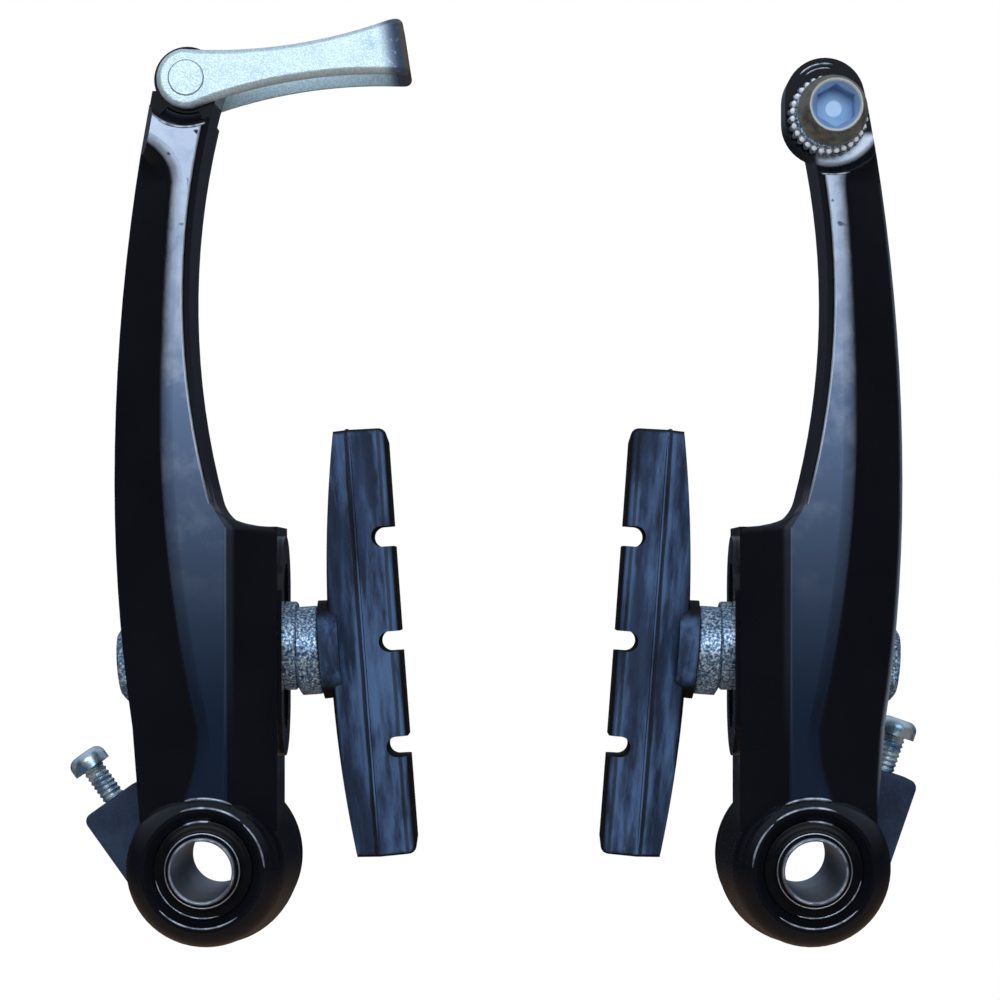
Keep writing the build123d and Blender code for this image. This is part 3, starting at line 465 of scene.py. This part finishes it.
finishes = {
    "arm_paint": makeArmPaint(armPaint), "bush_plastic": makeBushPlastic(bushPlastic),
    "sleeve_steel": makeSleeveSteel(turnedSteel), "housing_plastic": makeHousingPlastic(mouldedPlastic),
    "spring_steel": makeWireSteel(wireSteel), "zinc_steel": makeWasherZinc(washerZinc),
    "dark_steel": makeBoltSteel(boltSteel),
}
linkPlate = makeLinkZinc(zincPlate)
screwPlate = makeScrewZinc(screwZinc)
paintedHighlight = makeHighlightPaint(highlightPaint)
rubber = {side: makePadRubber(padRubber, side) for side in sides}


def finishFor(name, slot):
    if slot == "pad_rubber":
        return rubber[name.split("_")[0]]
    if "link" in name:
        return linkPlate
    return screwPlate if "screw" in name else finishes[slot]


for part in frame["record"]["subparts"]:
    materials = nodes[part["node"]].data.materials
    materials.clear()
    materials.append(finishFor(part["node"], part["material_slot"]))
print("finishes on", len(nodes), "nodes")

meshMerge = {"doubles": 1e-7, "slivers": 1e-8}  # in metres


def addPiece(name, points, material, slot):
    # each grid of points [along, around, 3] becomes quads between neighbours, closed around
    points = points.reshape(-1, *points.shape[-3:])
    index = np.arange(points.size // 3).reshape(points.shape[:3])
    after = np.roll(index, -1, 2)
    quads = np.stack([index[:, :-1], after[:, :-1], after[:, 1:], index[:, 1:]], -1).reshape(-1, 4)
    mesh = bpy.data.meshes.new(name)
    mesh.from_pydata(points.reshape(-1, 3), [], quads)
    work = bmesh.new()
    work.from_mesh(mesh)
    bmesh.ops.remove_doubles(work, verts=work.verts, dist=meshMerge["doubles"])
    bmesh.ops.dissolve_degenerate(work, dist=meshMerge["slivers"], edges=work.edges)
    bmesh.ops.recalc_face_normals(work, faces=work.faces)
    work.to_mesh(mesh)
    work.free()
    mesh.shade_smooth()
    mesh.materials.append(material)
    piece = bpy.data.objects.new(name, mesh)
    bpy.context.scene.collection.objects.link(piece)
    return piece


def unit(vectors):
    return vectors / np.linalg.norm(vectors, axis=-1, keepdims=True)


def circle(count):
    return np.linspace(0, tau, count, endpoint=False)


def tube(path, radius, around):
    # a ring round each path point: centre + radius * (side * cos a + axis * sin a); radius 0 closes an end
    along = unit(np.gradient(path, axis=0))
    side = unit(np.cross(along, (0, 1, 0)))
    axis = np.cross(side, along)
    angle = circle(around)[None, :, None]
    ring = side[:, None] * np.cos(angle) + axis[:, None] * np.sin(angle)
    return path[:, None] + radius[:, None, None] * ring


def roundedEnds(count, radius, soft):
    # full radius along the path, easing to 0 over the first and last few points as a quarter circle does
    place = np.minimum(np.arange(count), np.arange(count)[::-1]) / soft
    return radius * np.sqrt(1 - (1 - np.clip(place, 0, 1)) ** 2)


def mirrored(points, side):  # pieces are worked out for the left arm; the right one is its mirror image
    return points * (sides[side], 1, 1)


returnSpring = {"wire": 1.6, "coil": 7.0, "turns": 2, "pitch": 1.66, "depth": 1.6, "leg": 52.0, "tail": 8.8,
                "overlap": 0.15, "lean": {"left": 35.5, "right": 19.0}, "bend": (9.0, 46.0), "pressed": 5.6,
                "coilSteps": 150, "legSteps": 60, "tailSteps": 24, "around": 14, "capStep": 1e-4}


def makeSpring(look, side):
    # a helix (R cos a, R sin a, pitch * a / turn) with a straight leg off its end; the straight tail at its
    # start is a piece of its own, because the tension screw presses it
    upright = 90 - look["lean"][side]
    turn = 360 * look["turns"] - upright
    height = look["pitch"] * turn / 360
    angle = np.radians(np.linspace(0, turn, look["coilSteps"]))
    flat = [look["coil"] * np.cos(angle), look["coil"] * np.sin(angle)]
    helix = np.stack([*flat, height * angle / angle[-1]], -1)
    tail = helix[0] + np.linspace(-look["tail"], look["overlap"], look["tailSteps"])[:, None] * (0, 1, 0)
    upward = np.array([-np.sin(angle[-1]), np.cos(angle[-1]), 0])
    leg = helix[-1] + np.linspace(0, look["leg"], look["legSteps"])[1:, None] * upward
    lean = radians(look["lean"][side])
    base = np.array([pivotMm, -look["depth"] - height, 0])
    turned = np.array([[-sin(lean), 0, cos(lean)], [cos(lean), 0, sin(lean)], [0, 1, 0]])

    def placed(local):
        return mirrored((base + local @ turned) * mm, side)

    def wire(name, local):  # a round wire along these points, closed at both ends
        path = placed(np.concatenate([local[:1], local, local[-1:]]))
        path[0] += (path[1] - path[2]) * look["capStep"]  # keeps the end ring's direction
        path[-1] += (path[-2] - path[-3]) * look["capStep"]
        radius = np.full(len(path), look["wire"] / 2 * mm)
        radius[[0, -1]] = 0
        points = tube(path, radius, look["around"])
        piece = addPiece(side + name, points, finishes["spring_steel"], "spring_steel")
        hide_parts(side + "_return_spring")
        return piece

    coil, end = wire("SpringWire", np.concatenate([helix, leg])), wire("SpringTail", tail)
    x = -sides[side] * (pivotX + look["coil"] * mm)
    low, high = metres(look["bend"])
    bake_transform(coil)
    held, pushed = placed(helix[:1])[0], placed(helix[:1] - (0, look["pressed"], 0))[0]
    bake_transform(end)
    return coil, end


springs = [makeSpring(returnSpring, side) for side in sides]
print("return springs:", len(springs))

beadGrid = {"along": 96, "around": 10, "soft": 24}
beadFinishes = {
    "lip": (paintedHighlight, "arm_paint"), "steel": (paintedHighlight, "sleeve_steel"),
    "sleeve": (finishes["sleeve_steel"], "sleeve_steel"),
}
# each bead is a painted highlight: a bright arc laid where light catches an edge
edgeBeads = {  # centre from the pivot, radius, sweep in degrees, depth, thickness, finish, sides
    "bossTop": ((0, 0), 8.4, (52, 111), 24.32, 0.22, "lip", sides),
    "bossSide": ((0, 0), 8.3, (2, 50), 24.4, 0.16, "lip", sides),
    "bossLow": ((0, 0), 7.75, (-138, -52), 24.42, 0.15, "lip", sides),
    "bushLow": ((0, 0), 6.45, (-176, -62), 23.42, 0.15, "lip", sides),
    "bushTop": ((0, 0), 6.5, (80, 116), 23.32, 0.24, "lip", sides),
    "bushRing": ((0, 0), 5.0, (0, 360), 24.42, 0.12, "sleeve", sides),
    "sleeveLip": ((0, 0), 4.28, (0, 360), 25.42, 0.14, "steel", sides),
    "ridgeFoot": ((0, 0), 9.6, (66, 105), 23.43, 0.22, "lip", sides),
    "lugOuter": ((-1.82, 104.25), 4.6, (42, 104), 20.3, 0.15, "lip", ["right"]),
    "lugInner": ((-1.82, 104.25), 4.0, (50, 100), 20.3, 0.11, "lip", ["right"]),
    "coveLink": (linkRivet, 6.95, (-122, -66), 23.4, 0.2, "lip", ["left"]),
    "coveAnchor": ((-2.5, 102.0), 8.6, (-106, -80), 23.4, 0.16, "lip", ["right"]),
}


def arcBead(centre, radius, sweep, depth, thick, grid):
    # a round bead bent round a circle: R + r cos b outward, r sin b forward; r eases to 0 where an arc ends
    angle = np.radians(np.linspace(*sweep, grid["along"]))[:, None]
    whole = sweep[1] - sweep[0] >= 360
    girth = np.full(grid["along"], thick) if whole else roundedEnds(grid["along"], thick, grid["soft"])
    girth = girth[:, None]
    roll = circle(grid["around"])
    reach = radius + girth * np.cos(roll)
    across, up = centre[0] + reach * np.cos(angle), centre[1] + reach * np.sin(angle)
    return np.stack([across, -depth - girth * np.sin(roll), up], -1) * mm


def makeBead(name, look, side):  # a thin raised edge in a bright finish, a painted highlight
    (across, up), radius, sweep, depth, thick, kind, _ = look
    points = arcBead((pivotMm + across, up), radius, sweep, depth, thick, beadGrid)
    piece = addPiece(side + name[0].upper() + name[1:], mirrored(points, side), *beadFinishes[kind])
    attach(piece, "frame_mounts" if kind == "steel" else side + "_lever")
    return piece


beads = [makeBead(name, look, side) for name, look in edgeBeads.items() for side in look[-1]]
print("edge beads:", len(beads))

# low is painted shade at the bottom of the hollow, high a painted reflection at its rim
linkCove = {"radius": (4.5, 6.95), "depth": (20.05, 23.4), "sweep": (-126, -70), "sunk": 0.02,
            "along": 60, "quarterSteps": 14, "low": (0.012, 0.014, 0.02), "high": (0.2, 0.235, 0.31),
            "rough": 0.3, "grainNoise": (900, 2), "grainRough": 0.15}


def makeCoveShade(look):  # painted shade at the bottom of the hollow, a painted reflection paler towards its rim
    material, shader, coords = newFinish("paintedCoveShade", {"Metallic": 0.85})
    rise = (0 - coords.axis("Y")).between(*metres(look["depth"]))
    feed(shader, colour=rise.blend(look["low"], look["high"]))
    feed(shader, rough=look["rough"] + look["grainRough"] * coords.noise(*look["grainNoise"]))
    return material


def makeCove(look):
    # a quarter-ellipse hollow carried round the rivet: radius rises with sin q and depth with 1 - cos q,
    # backed by its corner
    quarter = np.linspace(0, pi / 2, look["quarterSteps"])
    (near, far), (deep, shallow) = look["radius"], look["depth"]
    radius = np.append(near + (far - near) * np.sin(quarter), far)
    depth = np.append(shallow - (shallow - deep) * np.cos(quarter), deep - look["sunk"])
    angle = np.radians(np.linspace(*look["sweep"], look["along"]))[:, None]
    across, up = pivotMm + linkRivet[0] + radius * np.cos(angle), linkRivet[1] + radius * np.sin(angle)
    points = np.stack([across, -depth + 0 * angle, up], -1) * mm
    caps = [np.broadcast_to(end.mean(0), (1, *end.shape)) for end in (points[0], points[-1])]
    points = np.concatenate([caps[0], points, caps[1]])
    piece = addPiece("leftLinkCove", points, makeCoveShade(look), "arm_paint")
    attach(piece, "left_lever")


makeCove(linkCove)
print("cove under the link")

screwThread = {"core": 1.36, "crest": 1.62, "pitch": 0.7, "span": (15.2, 20.6), "offset": 7.3, "depth": 3.6,
               "lean": returnSpring["lean"], "rows": 160, "around": 32}


def makeThread(look, side):
    # radius = core + (crest - core) * a triangle wave of (w / pitch - a / turn), closed at both ends
    place = np.linspace(*look["span"], look["rows"])[:, None]
    angle = circle(look["around"])
    wave = np.abs((place / look["pitch"] - angle / tau) % 1 * 2 - 1)
    radius = look["core"] + (look["crest"] - look["core"]) * wave
    radius[[0, -1]] = 0
    lean = radians(look["lean"][side])
    sideways, upward, forward = np.array([(cos(lean), 0, sin(lean)), (-sin(lean), 0, cos(lean)), (0, -1, 0)])
    start = np.array([pivotMm, -look["depth"], 0]) - look["offset"] * sideways
    ring = sideways * np.cos(angle)[:, None] + forward * np.sin(angle)[:, None]
    points = (start + place[..., None] * upward + radius[..., None] * ring) * mm
    piece = addPiece(side + "ScrewThread", mirrored(points, side), screwPlate, "zinc_steel")
    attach(piece, side + "_screw")
    return piece


threads = [makeThread(screwThread, side) for side in sides]
print("screw threads:", len(threads))


def ballGrid(rows, around):  # a unit sphere standing on its pole: cos e cos a, cos e sin a, sin e
    rise = np.linspace(-pi / 2, pi / 2, rows)[:, None]
    turn = circle(around)
    return np.stack([np.cos(rise) * np.cos(turn), np.cos(rise) * np.sin(turn), np.sin(rise) + 0 * turn], -1)


# the near-white beads are painted glints
knurlBeads = {"centre": (2.12, 101.55), "ring": 4.86, "depth": 22.55, "size": (0.4, 0.34, 0.4), "teeth": 30,
              "rows": 9, "around": 12, "low": (0.9, 0.92, 0.95), "high": (1.0, 1.0, 1.0),
              "toneNoise": (900, 2)}


def makeKnurl(look):
    # one small white ellipsoid on each tooth, a painted glint: size * (cos e cos a, sin e, cos e sin a), set round
    # a ring
    material, shader, coords = newFinish("knurlGlint", {"Metallic": 0.25, "Roughness": 0.35})
    feed(shader, colour=coords.noise(*look["toneNoise"]).blend(look["low"], look["high"]))
    turn = (np.arange(look["teeth"]) + 0.5) * tau / look["teeth"]
    across = look["centre"][0] + look["ring"] * np.cos(turn)
    up = look["centre"][1] + look["ring"] * np.sin(turn)
    centres = np.stack([across - pivotMm, np.full(look["teeth"], -look["depth"]), up], -1)
    ball = ballGrid(look["rows"], look["around"])[..., [0, 2, 1]]  # its poles point forward and back
    points = (centres[:, None, None] + ball * look["size"]) * mm
    piece = addPiece("washerKnurl", points, material, "zinc_steel")
    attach(piece, "cable_anchor")


makeKnurl(knurlBeads)
print("washer knurl:", knurlBeads["teeth"], "teeth")

padSeam = {"tilt": 4.2, "post": (10.3, 12.7, 29.0), "rise": 0.5, "rim": 290.0, "seam": 11.0, "half": 5.72,
           "reach": 28.0, "thick": 0.2, "along": 80, "soft": 8, "around": 10,
           "nub": (10.6, -1.8, 28.9), "nubSize": (0.55, 0.8), "nubSunk": 0.2, "nubSteps": 8, "nubAround": 12}


def makeSeam(look, side):
    # round the rim at each side of the block, from its middle: up (R - s) sin p, back R - (R - s) cos p
    tilt = radians(look["tilt"])
    inward, upward = np.array([(cos(tilt), 0, sin(tilt)), (-sin(tilt), 0, cos(tilt))])
    across, depth, height = look["post"]
    middle = np.array([pivotMm + across, -depth, height]) + look["rise"] * upward

    def place(along, offset, turn):
        reach = look["rim"] - offset
        back, up = look["rim"] - reach * np.cos(turn), reach * np.sin(turn)
        return middle + along * inward + back[:, None] * (0, 1, 0) + up[:, None] * upward

    turn = np.linspace(-look["reach"], look["reach"], look["along"]) / look["rim"]
    girth = roundedEnds(look["along"], look["thick"] * mm, look["soft"])
    paths = [place(look["seam"], offset, turn) * mm for offset in (-look["half"], look["half"])]
    lines = np.stack([tube(path, girth, look["around"]) for path in paths])
    seam = addPiece(side + "PadSeam", mirrored(lines, side), rubber[side], "pad_rubber")
    # the nub is a half ellipsoid at the pad's top end: wide * cos q across, tall * sin q up
    along, offset, end = look["nub"]
    wide, tall = look["nubSize"]
    spread = np.linspace(0, pi / 2, look["nubSteps"])
    foot = place(along, offset, np.array([end / look["rim"]]))
    stem = foot + (np.sin(spread) * tall - look["nubSunk"])[:, None] * upward
    knob = tube(stem * mm, np.cos(spread) * wide * mm, look["nubAround"])
    nub = addPiece(side + "PadNub", mirrored(knob, side), rubber[side], "pad_rubber")
    for piece in (seam, nub):
        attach(piece, side + "_pad")
    return seam, nub


seams = [makeSeam(padSeam, side) for side in sides]
print("pad seams:", len(seams))

studioAim = (0.0, 0.0, 0.05)
studioLamps = {
    "key": {"place": (0.0, -1.03, 0.44), "size": (1.0, 0.55), "power": 3.9,
            "colour": (0.84, 0.92, 1.0), "mirrored": True},
    "top": {"place": (0.1, -0.2, 0.95), "size": (0.8, 0.12), "power": 2.4,
            "colour": (0.9, 0.95, 1.0), "mirrored": False},
    "back": {"place": (-0.3, 0.9, 0.5), "size": (0.6, 0.4), "power": 2.0,
             "colour": (1.0, 0.97, 0.93), "mirrored": False},
}


def addLamp(name, look):
    data = bpy.data.lights.new(name, "AREA")
    data.shape, data.energy, data.color = "RECTANGLE", look["power"], look["colour"]
    data.size, data.size_y = look["size"]
    lamp = bpy.data.objects.new(name, data)
    lamp.location = look["place"]
    lamp.rotation_euler = (Vector(studioAim) - lamp.location).to_track_quat("-Z", "Y").to_euler()
    lamp.visible_camera = False
    lamp.visible_glossy = look["mirrored"]
    bpy.context.scene.collection.objects.link(lamp)


for name, look in studioLamps.items():
    addLamp(name, look)

dayWorld = {"colour": (1, 1, 1, 1), "seen": 1.0, "fill": 0.55}


def makeWorld(look):  # white where it is seen or mirrored, a soft fill elsewhere
    world = bpy.data.worlds.new("dayWorld")
    world.use_nodes = True
    tree = world.node_tree
    ground = tree.nodes["Background"]
    path = tree.nodes.new("ShaderNodeLightPath")
    kinds = ("Is Camera Ray", "Is Glossy Ray", "Is Transmission Ray")
    seenRay, glossyRay, clearRay = [Wire(tree, path.outputs[kind]) for kind in kinds]
    seen = seenRay.most(glossyRay).most(clearRay)
    strength = look["fill"] + seen * (look["seen"] - look["fill"])
    tree.links.new(strength.socket, ground.inputs["Strength"])
    ground.inputs["Color"].default_value = look["colour"]
    bpy.context.scene.world = world


makeWorld(dayWorld)


def addStage(name, points, material):
    piece = addPiece(name, points, material, "arm_paint")
    return piece


surround = {"radius": 1.35, "rows": 33, "around": 64, "low": (0.14, 0.094, 0.062),
            "level": (0.009, 0.011, 0.016), "high": (0.3, 0.36, 0.46),
            "lowSpan": (-0.7, -0.05), "highSpan": (0.1, 1.0)}


def makeSurround(look):  # a sphere that is only mirrored: warm and dim low down, bluer towards the top
    fixed = {"Base Color": (0, 0, 0, 1), "Roughness": 1.0, "Emission Strength": 1.0}
    material, shader, coords = newFinish("surround", fixed)
    height = coords.axis("Z")
    lower = height.between(*look["lowSpan"]).blend(look["low"], look["level"])
    feed(shader, glow=height.between(*look["highSpan"]).blend(lower, look["high"]))
    piece = addStage("surround", ballGrid(look["rows"], look["around"]) * look["radius"], material)
    piece.visible_camera = piece.visible_diffuse = piece.visible_shadow = piece.visible_transmission = False


paleFloor = {"height": -0.1, "radius": 0.34, "around": 96, "colour": (0.86, 0.86, 0.86, 1), "rough": 0.9}


def makeFloor(look):  # a flat disc: from its middle out to radius * (cos a, sin a)
    material = newFinish("paleFloor", {"Base Color": look["colour"], "Roughness": look["rough"]})[0]
    turn = circle(look["around"])
    ring = np.stack([np.cos(turn), np.sin(turn), 0 * turn], -1)
    spread = np.array([0.0, look["radius"]])[:, None, None]
    piece = addStage("paleFloor", ring * spread + (0, 0, look["height"]), material)
    piece.visible_glossy = False


makeSurround(surround)
makeFloor(paleFloor)

photoCamera = {"place": (0.00103, -0.38969, 0.03932), "turn": (pi / 2, 0, 0), "lens": 98.27, "sensor": 36.0,
               "shift": (-0.0161, 0.0774), "clip": (0.01, 20)}
lens = bpy.data.cameras.new("photoCamera")
lens.lens, lens.sensor_width = photoCamera["lens"], photoCamera["sensor"]
lens.shift_x, lens.shift_y = photoCamera["shift"]
lens.clip_start, lens.clip_end = photoCamera["clip"]
camera = bpy.data.objects.new("photoCamera", lens)
camera.location, camera.rotation_euler = photoCamera["place"], photoCamera["turn"]
bpy.context.scene.collection.objects.link(camera)
bpy.context.scene.camera = camera
bpy.context.scene.view_settings.view_transform = "Standard"
print("studio and camera set")
